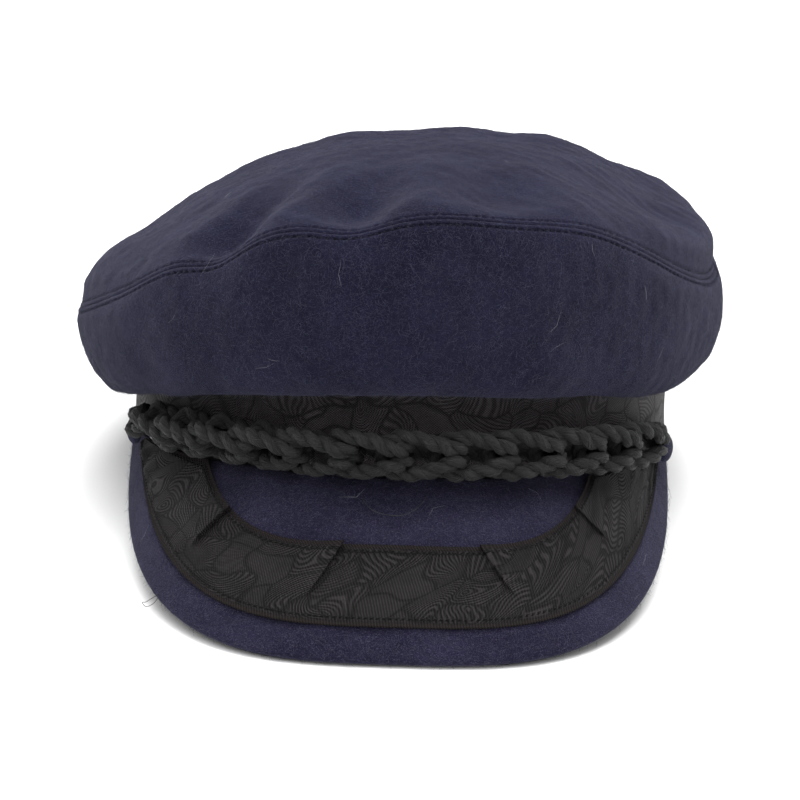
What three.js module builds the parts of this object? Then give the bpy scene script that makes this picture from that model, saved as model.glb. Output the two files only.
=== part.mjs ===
// A soft wool fisherman cap, lying on a table on the back of its band and the tip of its peak.
// Millimetres and degrees. +Z is up, the peak points to -Y and +X is the wearer's left.
// The cap is modelled upright, with the lower edge of its band level at z = 0, and the finished
// cap is then leant back until its peak and its band both touch the table.
import * as THREE from 'three';

// Driving sizes of the band, which a head of 58 to 59 cm fits.
const bandWidth = 186;
const bandLength = 200;
const bandHeight = 34;
const bandWall = 3;

// The crown: how far its cloth stands out past the band, and its heights over the band's lower edge.
const clothWall = 2;
const crownOverhang = 19;
const crownSeamHeight = 85;
const crownPeakHeight = 103;
const crownDome = 2.6;
const crestShift = 14;
const sideSeamAngle = 90;
const rimReach = 0.14;
const dentDepth = 6;
const sharpestCorner = 0.4;

// The peak, as wide as the band, measured forward from the buttons' line and down from the band.
const peakWidth = bandWidth;
const peakReach = 131;
const peakDrop = 49.5;
const peakHang = 3;
const peakBack = 10;
const peakSquareness = 3.1;
const peakSweep = 82.5;
const peakTurn = 87;
const peakWall = 2.6;
const peakCamber = 0.025;
const liningWall = 1.2;
const liningInset = 0.6;

// The brocade tape on the peak.
const tapeWidth = 28.5;
const tapeMargin = 11.5;
const tapeWall = 1;
const tuckLift = 1.6;
const tuckRun = 0.07;

// The cord, its chain stitches measured between the cord's middles, and where the braid hangs.
const cordDiameter = 4;
const braidWidth = 11;
const braidDepth = 8.5;
const stitchCount = 12;
const braidEndShare = 0.065;
const braidHeight = 9;
const braidStandoff = 8;

// The buttons that hold the braid's ends.
const buttonDiameter = 9.5;
const buttonDome = 3.2;
const buttonStandoff = 5.4;
const shankDiameter = 3;
const buttonAngle = 64;
const leftButtonHeight = 3;
const rightButtonHeight = 2;

// Clear space between neighbouring pieces, and how far cloth flattens where it rests.
const gap = 0.35;
const bandSettle = 1.5;
const peakSettle = 0.7;

// Steps of the grids that the cloth is drawn on.
const crownSteps = 48;
const topSteps = 8;
const sideSteps = 9;
const peakSteps = 36;
const tapeSteps = 32;

// The crown's outline by direction, in even steps of 30 degrees from the front towards +X.
// reach is a share of crownOverhang, seam of crownSeamHeight and fold of bandHeight. flare is how
// far the side leans out on its way up, as a share of its reach.
const crownSections = [
  { reach: 0.84, seam: 1.03, fold: 0.83, flare: 0.02 },
  { reach: 0.76, seam: 0.99, fold: 0.78, flare: 0.08 },
  { reach: 0.8, seam: 0.77, fold: 0.65, flare: 0.28 },
  { reach: 0.96, seam: 0.72, fold: 0.78, flare: 0.05 },
  { reach: 1.02, seam: 0.92, fold: 0.7, flare: 0 },
  { reach: 1.02, seam: 0.95, fold: 0.6, flare: 0 },
  { reach: 1.0, seam: 0.83, fold: 0.54, flare: 0.05 },
  { reach: 0.96, seam: 0.66, fold: 0.47, flare: 0.15 },
  { reach: 0.94, seam: 0.48, fold: 0.4, flare: 0.33 },
  { reach: 0.98, seam: 0.46, fold: 0.35, flare: 0.55 },
  { reach: 0.97, seam: 0.61, fold: 0.52, flare: 0.2 },
  { reach: 0.91, seam: 0.9, fold: 0.72, flare: 0.02 },
];

// The side panel's section from the fold to the seam: out is a share of the crown's reach past the
// band, up a share of the height from fold to seam.
const sideSection = [
  { out: 0.5, up: 0 },
  { out: 0.88, up: 0.14 },
  { out: 1.02, up: 0.42 },
  { out: 1.0, up: 0.74 },
  { out: 0.9, up: 1 },
];

// Soft dents behind the seam. at and spread are degrees round the crown, inward and length are
// shares of crownOverhang measured from the seam, and depth is a share of dentDepth.
const crownDents = [
  { at: -34, spread: 7, inward: 0.6, length: 1.3, depth: 1.2 },
  { at: -9, spread: 7, inward: 0.9, length: 1.4, depth: 1.0 },
  { at: 18, spread: 9, inward: 1.3, length: 1.3, depth: 0.5 },
  { at: 70, spread: 14, inward: 0.7, length: 1.2, depth: 0.5 },
  { at: 128, spread: 13, inward: 0.8, length: 1.3, depth: 0.8 },
  { at: 180, spread: 15, inward: 0.9, length: 1.4, depth: 0.7 },
  { at: -130, spread: 13, inward: 0.8, length: 1.3, depth: 0.9 },
];

// Tucks in the peak's tape: at is the share of the way from the middle of the peak to its end,
// reach the share of the tape's width that the fold crosses, lift a share of tuckLift.
const tapeTucks = [
  { at: -0.47, reach: 0.75, lift: 1.0 },
  { at: -0.16, reach: 0.7, lift: 1.0 },
  { at: 0.2, reach: 0.7, lift: -0.8 },
  { at: 0.52, reach: 0.75, lift: -0.8 },
];

// The way the braid hangs from the -X button to the +X one: height is a share of braidHeight, away
// of braidStandoff, and roll is how far the chain has turned about its own length, in degrees.
const braidHang = [
  { height: 0.84, away: 0.9, roll: 45 },
  { height: 0.94, away: 0.88, roll: 52 },
  { height: 1.0, away: 0.9, roll: 40 },
  { height: 1.0, away: 1.0, roll: 12 },
  { height: 1.0, away: 1.02, roll: -6 },
  { height: 0.96, away: 1.02, roll: -4 },
  { height: 0.88, away: 1.0, roll: 6 },
  { height: 0.78, away: 0.98, roll: 18 },
];

// One chain stitch of the cord: along is a share of the stitch's length, across of braidWidth
// and out of braidDepth. The last row is the cord's way behind the chain to the next stitch.
const chainStitch = [
  { along: -0.08, across: 0.22, out: -0.45 },
  { along: -0.11, across: 0.21, out: 0.26 },
  { along: 0.1, across: 0.26, out: 0.52 },
  { along: 0.64, across: 0.58, out: 0.34 },
  { along: 1.15, across: 0.55, out: 0.05 },
  { along: 1.33, across: 0, out: -0.13 },
  { along: 1.15, across: -0.55, out: 0.05 },
  { along: 0.64, across: -0.58, out: 0.34 },
  { along: 0.1, across: -0.26, out: 0.52 },
  { along: -0.11, across: -0.21, out: 0.26 },
  { along: -0.08, across: -0.22, out: -0.45 },
  { along: 0.69, across: 0.06, out: -0.71 },
];

// The cord's way up through its last stitch and over it towards the button.
const lastPass = [
  { along: -0.08, across: 0.22, out: -0.45 },
  { along: -0.11, across: 0.21, out: 0.26 },
  { along: 0.1, across: 0.16, out: 0.54 },
  { along: 0.46, across: 0.06, out: 0.44 },
];

// The cord's hook over a button's shank, from its hidden end to the chain. along is measured from
// the button towards the middle of the cap, up from the button's middle, both as shares of
// cordDiameter, and out from the band as a share of buttonStandoff.
const cordHook = [
  { along: -1.35, up: 0.3, out: 0.5 },
  { along: -1.1, up: 1.2, out: 0.5 },
  { along: -0.1, up: 1.6, out: 0.5 },
  { along: 0.9, up: 1.5, out: 0.85 },
];

const radians = THREE.MathUtils.degToRad;

// The value of a smooth curve through four even knots, between the middle two.
function blend(a, b, c, d, t) {
  const slopeB = (c - a) / 2;
  const slopeC = (d - b) / 2;
  const rise = c - b;
  return b + t * (slopeB + t * (3 * rise - 2 * slopeB - slopeC + t * (slopeB + slopeC - 2 * rise)));
}

// A column of a table read round a closed loop, with its rows evenly spaced over 360 degrees.
function roundLoop(table, column, degrees) {
  const place = (((degrees / 360) % 1) + 1) % 1 * table.length;
  const row = Math.floor(place);
  const value = (k) => table[(row + k + table.length) % table.length][column];
  return blend(value(-1), value(0), value(1), value(2), place - row);
}

// A list of numbers read as a smooth curve from its first at share 0 to its last at share 1.
function alongList(values, share) {
  const last = values.length - 1;
  const place = THREE.MathUtils.clamp(share, 0, 1) * last;
  const row = Math.min(Math.floor(place), last - 1);
  const value = (k) => values[THREE.MathUtils.clamp(row + k, 0, last)];
  return blend(value(-1), value(0), value(1), value(2), place - row);
}

// A column of a table read from its first row at share 0 to its last at share 1.
const alongTable = (table, column, share) => alongList(table.map((row) => row[column]), share);

const bump = (distance, spread) => Math.exp(-((distance / spread) ** 2));

// The shortest turn from one direction to another, in degrees.
const turnBetween = (from, to) => THREE.MathUtils.euclideanModulo(to - from + 180, 360) - 180;

// Outer radius of the band's oval in a direction, counted from the front towards +X.
function bandRadius(degrees) {
  const x = Math.sin(radians(degrees)) / (bandWidth / 2);
  const y = Math.cos(radians(degrees)) / (bandLength / 2);
  return 1 / Math.hypot(x, y);
}

// A point at a radius in a direction and at a height.
function polar(degrees, radius, height) {
  return new THREE.Vector3(
    Math.sin(radians(degrees)) * radius,
    -Math.cos(radians(degrees)) * radius,
    height,
  );
}

// Cloth that would reach through the table is pushed up onto it.
function restOnTable(point) {
  const height = -point.y * Math.sin(lean) + point.z * Math.cos(lean) + lift;
  if (height < 0) {
    point.y += height * Math.sin(lean);
    point.z -= height * Math.cos(lean);
  }
  return point;
}

// A closed wall of one thickness behind a surface at(u, v), which is drawn on a grid of columns
// and rows with u and v from 0 to 1. options.loop joins the last column to the first, and
// options.pole closes the surface to one point at v = 1. options.innerAt(u, v) gives the back of
// the wall where it isn't simply one thickness behind the front, and nothing elsewhere.
function wallBehind(at, columns, rows, thickness, options = {}) {
  const step = 1e-3;
  const across = options.loop ? columns : columns + 1;
  const down = options.pole ? rows : rows + 1;
  const columnAt = options.columnAt ?? ((i) => i / columns);
  const positions = [];
  const inner = [];
  const behind = (outer, u, v) => {
    const low = (w) => (options.loop ? w : Math.max(w, 0));
    const high = (w) => (options.loop ? w : Math.min(w, 1));
    const alongU = at(high(u + step), v).sub(at(low(u - step), v));
    const vTo = options.pole ? v + step : Math.min(v + step, 1);
    const alongV = at(u, vTo).sub(at(u, Math.max(v - step, 0)));
    const normal = alongU.cross(alongV).normalize();
    if (options.pole && v === 1) normal.set(0, 0, 1);
    return outer.addScaledVector(normal, -thickness);
  };
  const place = (u, v) => {
    const outer = at(u, v);
    positions.push(...restOnTable(outer.clone()).toArray());
    inner.push(...restOnTable(options.innerAt?.(u, v) ?? behind(outer, u, v)).toArray());
  };
  for (let j = 0; j < down; j += 1) {
    for (let i = 0; i < across; i += 1) place(columnAt(i), j / rows);
  }
  if (options.pole) place(0, 1);
  const half = positions.length / 3;
  const front = (i, j) => (options.pole && j === rows ? half - 1 : j * across + (i % across));
  const back = (i, j) => half + front(i, j);
  const index = [];
  const quad = (a, b, c, d) => index.push(a, b, c, a, c, d);
  for (let j = 0; j < rows; j += 1) {
    for (let i = 0; i < columns; i += 1) {
      if (options.pole && j === rows - 1) {
        index.push(front(i, j), front(i + 1, j), front(i, rows));
        index.push(back(i + 1, j), back(i, j), back(i, rows));
      } else {
        quad(front(i, j), front(i + 1, j), front(i + 1, j + 1), front(i, j + 1));
        quad(back(i + 1, j), back(i, j), back(i, j + 1), back(i + 1, j + 1));
      }
    }
  }
  for (let i = 0; i < columns; i += 1) {
    quad(back(i, 0), back(i + 1, 0), front(i + 1, 0), front(i, 0));
    if (!options.pole) quad(front(i, rows), front(i + 1, rows), back(i + 1, rows), back(i, rows));
  }
  if (!options.loop) {
    for (let j = 0; j < rows; j += 1) {
      quad(front(0, j), front(0, j + 1), back(0, j + 1), back(0, j));
      quad(back(columns, j), back(columns, j + 1), front(columns, j + 1), front(columns, j));
    }
  }
  const geometry = new THREE.BufferGeometry();
  geometry.setAttribute('position', new THREE.Float32BufferAttribute([...positions, ...inner], 3));
  geometry.setIndex(index);
  geometry.computeVertexNormals();
  return geometry;
}

// How far the crown reaches, the height of its seam and of the fold under it, in one direction.
function crownSection(degrees) {
  return {
    reach: crownOverhang * roundLoop(crownSections, 'reach', degrees),
    seam: crownSeamHeight * roundLoop(crownSections, 'seam', degrees),
    fold: bandHeight * roundLoop(crownSections, 'fold', degrees),
    flare: roundLoop(crownSections, 'flare', degrees),
  };
}

// Pushes a crown point in and down where a dent lies. inward is its distance from the seam,
// counted towards the middle of the crown.
function dented(point, degrees, inward) {
  let depth = 0;
  for (const dent of crownDents) {
    const aside = bump(turnBetween(dent.at, degrees), dent.spread);
    const along = bump(inward - dent.inward * crownOverhang, dent.length * crownOverhang);
    depth += dent.depth * dentDepth * aside * along;
  }
  const flat = Math.hypot(point.x, point.y) || 1;
  point.x -= 0.35 * depth * point.x / flat;
  point.y -= 0.35 * depth * point.y / flat;
  point.z -= 0.9 * depth;
  return point;
}

// The side of the crown from its rim on the band (share 0), out, down to the fold and up to the
// seam (share 1).
function crownSide(degrees, share) {
  const { reach, seam, fold, flare } = crownSection(degrees);
  const rim = bandHeight + gap;
  const outAt = (row) => (row.out + flare * (row.up - 0.5)) * reach;
  const outs = [-bandWall, rimReach * reach, ...sideSection.map(outAt)];
  const heights = [rim, rim, ...sideSection.map((row) => fold + row.up * (seam - fold))];
  const radius = bandRadius(degrees) + alongList(outs, share);
  const height = alongList(heights, share);
  const below = (height - seam) * (share > 0.5 ? 1 : 3);
  return dented(polar(degrees, radius, height), degrees, Math.min(below, 0));
}

// The top of the crown from the seam (share 0) to its middle (share 1).
function crownTop(degrees, share) {
  const { reach, seam, flare } = crownSection(degrees);
  const edge = bandRadius(degrees) + (sideSection.at(-1).out + flare / 2) * reach;
  const radius = edge * (1 - share);
  const height = seam + (crownPeakHeight - seam) * (1 - (1 - share) ** crownDome);
  const point = polar(degrees, radius, height);
  point.x += crestShift * share;
  return dented(point, degrees, edge - radius);
}

// The way from the crown's seam to the inner corner where the walls of the top and the side meet.
function seamCorner(degrees) {
  const step = 1e-3;
  const turn = (at, v) => at(degrees + step, v).sub(at(degrees - step, v));
  const climb = crownSide(degrees, 1).sub(crownSide(degrees, 1 - step));
  const inward = crownTop(degrees, step).sub(crownTop(degrees, 0));
  const side = turn(crownSide, 1).cross(climb).normalize();
  const top = turn(crownTop, 0).cross(inward).normalize();
  const share = -clothWall / Math.max(1 + side.dot(top), sharpestCorner);
  return side.add(top).multiplyScalar(share);
}

// The peak's upper face, from its join with the band (share 0) to its edge (share 1). side runs
// from -1 at the -X end to 1 at the +X end.
function peakSurface(side, share) {
  const join = polar(side * peakSweep, bandRadius(side * peakSweep) + gap, -gap);
  const turn = radians(peakTurn * side);
  const x = Math.abs(Math.sin(turn)) / (peakWidth / 2);
  const y = Math.abs(Math.cos(turn)) / peakReach;
  const radius = (x ** peakSquareness + y ** peakSquareness) ** (-1 / peakSquareness);
  const forward = radius * Math.cos(turn);
  const edge = new THREE.Vector3(
    radius * Math.sin(turn),
    -peakBack - forward,
    -peakHang - peakDrop * (forward / peakReach),
  );
  const swell = peakCamber * join.distanceTo(edge) * 4 * share * (1 - share);
  return join.lerp(edge, share).add(polar(side * peakSweep, swell, swell));
}

// A point at a height over the peak's upper face, or under it where the height is negative.
function overPeak(side, share, height) {
  const step = 1e-3;
  const point = peakSurface(side, share);
  const sideways = peakSurface(side + step, share).sub(peakSurface(side - step, share));
  const inward = peakSurface(side, share - step).sub(peakSurface(side, share + step));
  return point.addScaledVector(sideways.cross(inward).normalize(), height);
}

// The share of the peak at which a line runs at a distance inside its edge.
function peakShare(side, distance) {
  const step = 1e-3;
  const edge = peakSurface(side, 1);
  const inward = peakSurface(side, 0).sub(edge);
  const along = peakSurface(side + step, 1).sub(peakSurface(side - step, 1)).normalize();
  const depth = inward.clone().addScaledVector(along, -inward.dot(along)).length();
  return 1 - distance / depth;
}

// How high the tape stands off the peak where its tucks fold over, at a share of its width from
// its inner edge. A tuck of positive lift has its -X side on top.
function tuckHeight(side, across) {
  let height = 0;
  for (const tuck of tapeTucks) {
    const past = Math.sign(tuck.lift) * (side - tuck.at);
    const fade = THREE.MathUtils.smoothstep(1 - across / tuck.reach, 0, 0.35);
    const saw = past > 0 ? 0 : Math.exp(past / tuckRun);
    height += Math.abs(tuck.lift) * tuckLift * fade * saw;
  }
  return height;
}

// The point at a place on the braid: along its middle line as a share of the way between the
// buttons, across it and out from its middle in millimetres.
function braidPoint(share, across, out) {
  const degrees = buttonAngle * (2 * share - 1);
  const roll = radians(alongTable(braidHang, 'roll', share));
  const up = across * Math.cos(roll) - out * Math.sin(roll);
  const away = across * Math.sin(roll) + out * Math.cos(roll);
  const height = braidHeight * alongTable(braidHang, 'height', share);
  const standoff = braidStandoff * alongTable(braidHang, 'away', share);
  return polar(degrees, bandRadius(degrees) + standoff + away, height + up);
}

// The cord's hook over the button at one side, which is -1 or 1.
function hookPoints(side) {
  const height = side < 0 ? leftButtonHeight : rightButtonHeight;
  return cordHook.map(({ along, up, out }) => {
    const turn = (along * cordDiameter) / (bandWidth / 2);
    const degrees = side * (buttonAngle - THREE.MathUtils.radToDeg(turn));
    return polar(degrees, bandRadius(degrees) + out * buttonStandoff, height + up * cordDiameter);
  });
}

// The cord's whole way: over one shank, through all its stitches, up through the last of them and
// over the other shank.
function cordPoints() {
  const points = hookPoints(1);
  const first = braidEndShare;
  const stitch = (1 - 2 * braidEndShare) / stitchCount;
  for (let k = 0; k < stitchCount; k += 1) {
    for (const { along, across, out } of chainStitch) {
      const share = 1 - first - (k + along) * stitch;
      points.push(braidPoint(share, across * braidWidth, out * braidDepth));
    }
  }
  const end = lastPass.map(({ along, across, out }) => (
    braidPoint(first - along * stitch, across * braidWidth, out * braidDepth)
  ));
  return [...points, ...end, ...hookPoints(-1).reverse()];
}

// A smooth line whose steps are even between its points rather than by length, so that tight
// turns get as many steps as long ones.
class SmoothLine extends THREE.CatmullRomCurve3 {
  getPointAt(t, target) {
    return this.getPoint(t, target);
  }

  getTangentAt(t, target) {
    return this.getTangent(t, target);
  }
}

// The slope at which the cap lies back, with its peak's tip and the back of its band on the table.
const tip = overPeak(0, 1, -peakWall - gap - liningWall);
const tipSpan = bandLength / 2 - tip.y;
const settle = Math.asin((bandSettle - peakSettle) / Math.hypot(tipSpan, tip.z));
const lean = settle - Math.atan2(tip.z, tipSpan);
const lift = (bandLength / 2) * Math.sin(lean) - bandSettle;

const navyWool = new THREE.MeshStandardMaterial({ color: 0x28263a, roughness: 0.95, metalness: 0 });
const blackBrocade = new THREE.MeshStandardMaterial({ color: 0x201e1e, roughness: 0.7, metalness: 0 });
const blackLining = new THREE.MeshStandardMaterial({ color: 0x141417, roughness: 0.85, metalness: 0 });
const blackCord = new THREE.MeshStandardMaterial({ color: 0x242527, roughness: 0.6, metalness: 0 });

function named(name, geometry, material) {
  const mesh = new THREE.Mesh(geometry, material);
  mesh.name = name;
  return mesh;
}

function crownTopPanel() {
  const edge = gap / (bandLength / 2);
  const at = (u, v) => crownTop(360 * u, edge + v * (1 - edge));
  const innerAt = (u, v) => (v === 0 ? at(u, 0).add(seamCorner(360 * u)) : null);
  const options = { loop: true, pole: true, innerAt };
  const geometry = wallBehind(at, crownSteps, topSteps, clothWall, options);
  return named('crown_top', geometry, navyWool);
}

function crownSidePanel(name, from, to) {
  const seamTurn = THREE.MathUtils.radToDeg(gap / bandWidth);
  const topEdge = 1 - gap / crownSeamHeight;
  const columns = Math.round((crownSteps * (to - from)) / 360);
  const degreesAt = (u) => THREE.MathUtils.clamp(from + u * (to - from), from + seamTurn, to - seamTurn);
  const at = (u, v) => crownSide(degreesAt(u), v * topEdge);
  const innerAt = (u, v) => (v === 1 ? at(u, 1).add(seamCorner(degreesAt(u))) : null);
  return named(name, wallBehind(at, columns, sideSteps, clothWall, { innerAt }), navyWool);
}

function headBand() {
  const at = (u, v) => polar(360 * u, bandRadius(360 * u), bandHeight * v);
  const geometry = wallBehind(at, crownSteps, 2, bandWall, { loop: true });
  return named('head_band', geometry, blackBrocade);
}

// A wall that follows the peak, between two heights over its upper face. innerShare and
// outerShare give its two edges at a side, and sides the places of its columns.
function onPeak(sides, rows, innerShare, outerShare, top, bottom) {
  const sideAt = (u) => sides[Math.round(u * (sides.length - 1))];
  const shareAt = (side, v) => THREE.MathUtils.lerp(outerShare(side), innerShare(side), v);
  const face = (height) => (u, v) => {
    const side = sideAt(u);
    return overPeak(side, shareAt(side, v), height(side, 1 - v));
  };
  return wallBehind(face(top), sides.length - 1, rows, 0, { innerAt: face(bottom) });
}

const evenSides = (limit, columns) => (
  Array.from({ length: columns + 1 }, (_, i) => limit * ((2 * i) / columns - 1))
);

function peakBoard() {
  const geometry = onPeak(evenSides(1, peakSteps), 5, () => 0, () => 1, () => 0, () => -peakWall);
  return named('peak', geometry, navyWool);
}

function peakLining() {
  const outerShare = (side) => Math.max(peakShare(side, liningInset), 0.5);
  const top = -peakWall - gap;
  const sides = evenSides(1 - liningInset / bandWidth, peakSteps);
  const geometry = onPeak(sides, 4, () => 0.02, outerShare, () => top, () => top - liningWall);
  return named('peak_lining', geometry, blackLining);
}

// The tape runs as far round as the peak is deep enough to hold it.
function peakTape() {
  const outerShare = (side) => peakShare(side, tapeMargin);
  const innerShare = (side) => Math.max(peakShare(side, tapeMargin + tapeWidth), 0.03);
  let limit = 1;
  while (outerShare(limit) < 0.2) limit -= 0.005;
  const sides = evenSides(limit, tapeSteps);
  for (const { at } of tapeTucks) sides.push(at - 0.004, at + 0.004);
  sides.sort((a, b) => a - b);
  const bottom = (side, across) => gap + tuckHeight(side, across);
  const top = (side, across) => bottom(side, across) + tapeWall;
  return named('peak_tape', onPeak(sides, 4, innerShare, outerShare, top, bottom), blackBrocade);
}

function braid() {
  const section = new THREE.Shape();
  section.absarc(0, 0, cordDiameter / 2, 0, 2 * Math.PI);
  const points = cordPoints();
  const path = new SmoothLine(points, false, 'catmullrom', 0.5);
  const geometry = new THREE.ExtrudeGeometry(section, {
    steps: 2 * (points.length - 1),
    curveSegments: 3,
    extrudePath: path,
  });
  return named('braid', geometry, blackCord);
}

// A covered button on its shank: flat behind, round-edged and domed in front.
function button(name, side, height) {
  const shank = shankDiameter / 2;
  const head = buttonDiameter / 2;
  const outline = [
    [0, gap],
    [shank, gap],
    [shank, buttonStandoff],
    [head * 0.8, buttonStandoff],
    [head, buttonStandoff + buttonDome * 0.35],
    [head * 0.85, buttonStandoff + buttonDome * 0.75],
    [head * 0.45, buttonStandoff + buttonDome * 0.96],
    [0, buttonStandoff + buttonDome],
  ].map(([x, y]) => new THREE.Vector2(x, y));
  const mesh = named(name, new THREE.LatheGeometry(outline, 16), navyWool);
  const degrees = side * buttonAngle;
  mesh.position.copy(polar(degrees, bandRadius(degrees), height));
  mesh.quaternion.setFromUnitVectors(new THREE.Vector3(0, 1, 0), polar(degrees, 1, 0));
  return mesh;
}

const cap = new THREE.Group();
cap.add(crownTopPanel());
cap.add(crownSidePanel('crown_front', -sideSeamAngle, sideSeamAngle));
cap.add(crownSidePanel('crown_back', sideSeamAngle, 360 - sideSeamAngle));
cap.add(headBand());
cap.add(peakBoard());
cap.add(peakLining());
cap.add(peakTape());
cap.add(braid());
cap.add(button('button_left', -1, leftButtonHeight));
cap.add(button('button_right', 1, rightButtonHeight));
cap.rotation.x = -lean;
cap.position.z = lift;

// The part's origin is on the table, at the middle of the cap's footprint.
const onTable = new THREE.Group();
onTable.add(cap);
const middle = new THREE.Box3().setFromObject(onTable, true).getCenter(new THREE.Vector3());
cap.position.x -= middle.x;
cap.position.y -= middle.y;

export default onTable;
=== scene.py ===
# Fisherman cap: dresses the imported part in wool, brocade and cord for rendering.
import bpy
import numpy as np
from mathutils import Matrix, Vector


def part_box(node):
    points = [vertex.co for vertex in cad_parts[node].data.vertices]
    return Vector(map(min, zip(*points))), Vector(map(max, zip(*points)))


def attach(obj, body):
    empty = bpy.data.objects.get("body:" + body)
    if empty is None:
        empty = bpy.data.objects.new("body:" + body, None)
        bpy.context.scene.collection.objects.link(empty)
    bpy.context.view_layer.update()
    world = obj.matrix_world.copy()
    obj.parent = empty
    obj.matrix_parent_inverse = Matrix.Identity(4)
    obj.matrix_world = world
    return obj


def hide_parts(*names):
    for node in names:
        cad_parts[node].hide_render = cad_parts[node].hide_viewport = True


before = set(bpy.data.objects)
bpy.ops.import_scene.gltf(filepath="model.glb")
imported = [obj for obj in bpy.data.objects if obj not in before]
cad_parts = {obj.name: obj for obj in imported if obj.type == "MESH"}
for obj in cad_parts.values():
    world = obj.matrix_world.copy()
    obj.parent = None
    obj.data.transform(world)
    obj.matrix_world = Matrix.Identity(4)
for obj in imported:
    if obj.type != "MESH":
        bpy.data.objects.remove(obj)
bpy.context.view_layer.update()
mm = 0.001

# Sizes shared by every piece, in millimetres and degrees, the same as in the part's source.
cap = {"bandWidth": 186, "bandLength": 200, "bandHeight": 34, "bandWall": 3, "gap": 0.35, "cloth": 2.0,
       "lean": 13.14, "bandSettle": 1.5, "buttonAngle": 64}
lean = np.radians(cap["lean"])
lift = cap["bandLength"] / 2 * np.sin(lean) - cap["bandSettle"]
bandLow, bandHigh = [np.array(corner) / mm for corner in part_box("head_band")]
originX = (bandLow[0] + bandHigh[0]) / 2
originY = (bandLow[1] + bandHigh[1]) / 2 - cap["bandHeight"] * np.sin(lean) / 2
print(f"frame loaded, cap centred at {originX:.2f}, {originY:.2f} mm")


# From the upright cap to the table: turned by the lean about X, then lifted and moved to the middle.
def toTable(points):
    x, y, z = np.moveaxis(points, -1, 0)
    return np.stack([x + originX, y * np.cos(lean) + z * np.sin(lean) + originY,
                     np.maximum(-y * np.sin(lean) + z * np.cos(lean) + lift, 0)], -1)


def addObject(name, data):
    thing = bpy.data.objects.new(name, data)
    bpy.context.scene.collection.objects.link(thing)
    return thing


# The camera's place as azimuth, elevation and distance from the middle of the band's lower edge.
camera = {"azimuth": -0.15, "elevation": 23.14, "distance": 1300, "focal": 165.7, "roll": 1.7, "shiftY": 0.03}


# Aims the camera at the band from its azimuth and elevation, turned by its roll.
def makeCamera(c):
    az, el, roll = np.radians([c["azimuth"], c["elevation"], c["roll"]])
    aim = toTable(np.zeros(3))
    back = np.array([np.sin(az) * np.cos(el), -np.cos(az) * np.cos(el), np.sin(el)])
    right = np.array([np.cos(az), np.sin(az), 0])
    turned = right * np.cos(roll) + np.cross(back, right) * np.sin(roll)
    data = bpy.data.cameras.new("camera")
    data.lens, data.sensor_width, data.clip_end, data.shift_y = c["focal"], 36, 20, c["shiftY"]
    thing = addObject("camera", data)
    place = Matrix(np.column_stack([turned, np.cross(back, turned), back]).tolist()).to_4x4()
    place.translation = Vector((aim + back * c["distance"]) * mm)
    thing.matrix_world = place
    bpy.context.scene.camera = thing


makeCamera(camera)


# A mesh of whole arrays: corners and UV in millimetres, faces of one size.
def addMesh(name, points, faces, uv=None):
    mesh = bpy.data.meshes.new(name)
    count, size = faces.shape
    mesh.vertices.add(len(points))
    mesh.vertices.foreach_set("co", (points * mm).astype(np.float32).ravel())
    mesh.loops.add(count * size)
    mesh.loops.foreach_set("vertex_index", faces.astype(np.int32).ravel())
    mesh.polygons.add(count)
    mesh.polygons.foreach_set("loop_start", np.arange(0, count * size, size, dtype=np.int32))
    mesh.update(calc_edges=True)
    mesh.polygons.foreach_set("use_smooth", np.ones(count, bool))
    if uv is not None:
        layer = mesh.uv_layers.new(name="cloth")
        layer.data.foreach_set("uv", uv[faces.ravel()].astype(np.float32).ravel())
    return addObject(name, mesh)


# A mesh's material, body and the solids that it replaces; the slot is not used.
def dress(thing, material, slot, *nodes):
    thing.data.materials.append(material)
    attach(thing, "root")
    if nodes:
        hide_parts(*nodes)
    return thing


def unit(ways):
    return ways / np.maximum(np.linalg.norm(ways, axis=-1, keepdims=True), 1e-9)


# Outward normals of a grid [row, column]: columns run left to right seen from outside, rows upward.
def gridNormals(grid, loop=False):
    sideways = np.roll(grid, -1, 1) - np.roll(grid, 1, 1) if loop else np.gradient(grid, axis=1)
    return unit(np.cross(sideways, np.gradient(grid, axis=0)))


# A grid's cells as rows of four corners, then the first row's corners and the ones beside them.
def cells(rows, columns, loop=True):
    j, i = np.meshgrid(np.arange(rows - 1), np.arange(columns if loop else columns - 1), indexing="ij")
    a, b = j * columns + i, j * columns + (i + 1) % columns
    return np.stack([a, b, b + columns, a + columns], -1).reshape(-1, 4), a[0], b[0]


# Triangles of a closed wall between a front and a back grid. A pole closes the last row to one point.
def wallFaces(rows, columns, loop, pole=False):
    quads, low, beside = cells(rows, columns, loop)
    half, last = rows * columns, (rows - 1) * columns
    quads = [quads, quads[:, [1, 0, 3, 2]] + half]
    quads.append(np.stack([low + half, beside + half, beside, low], -1))
    if not pole:
        quads.append(np.stack([low, beside, beside + half, low + half], -1) + last)
    if not loop:
        start = np.arange(rows - 1) * columns
        end = start + columns - 1
        quads.append(np.stack([start, start + columns, start + columns + half, start + half], -1))
        quads.append(np.stack([end + half, end + columns + half, end + columns, end], -1))
    quads = np.concatenate(quads)
    triangles = [quads[:, [0, 1, 2]], quads[:, [0, 2, 3]]]
    if pole:
        front, back = np.full_like(low, 2 * half), np.full_like(low, 2 * half + 1)
        triangles += [np.stack([last + low, last + beside, front], -1),
                      np.stack([half + last + beside, half + last + low, back], -1)]
    return np.concatenate(triangles)


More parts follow.
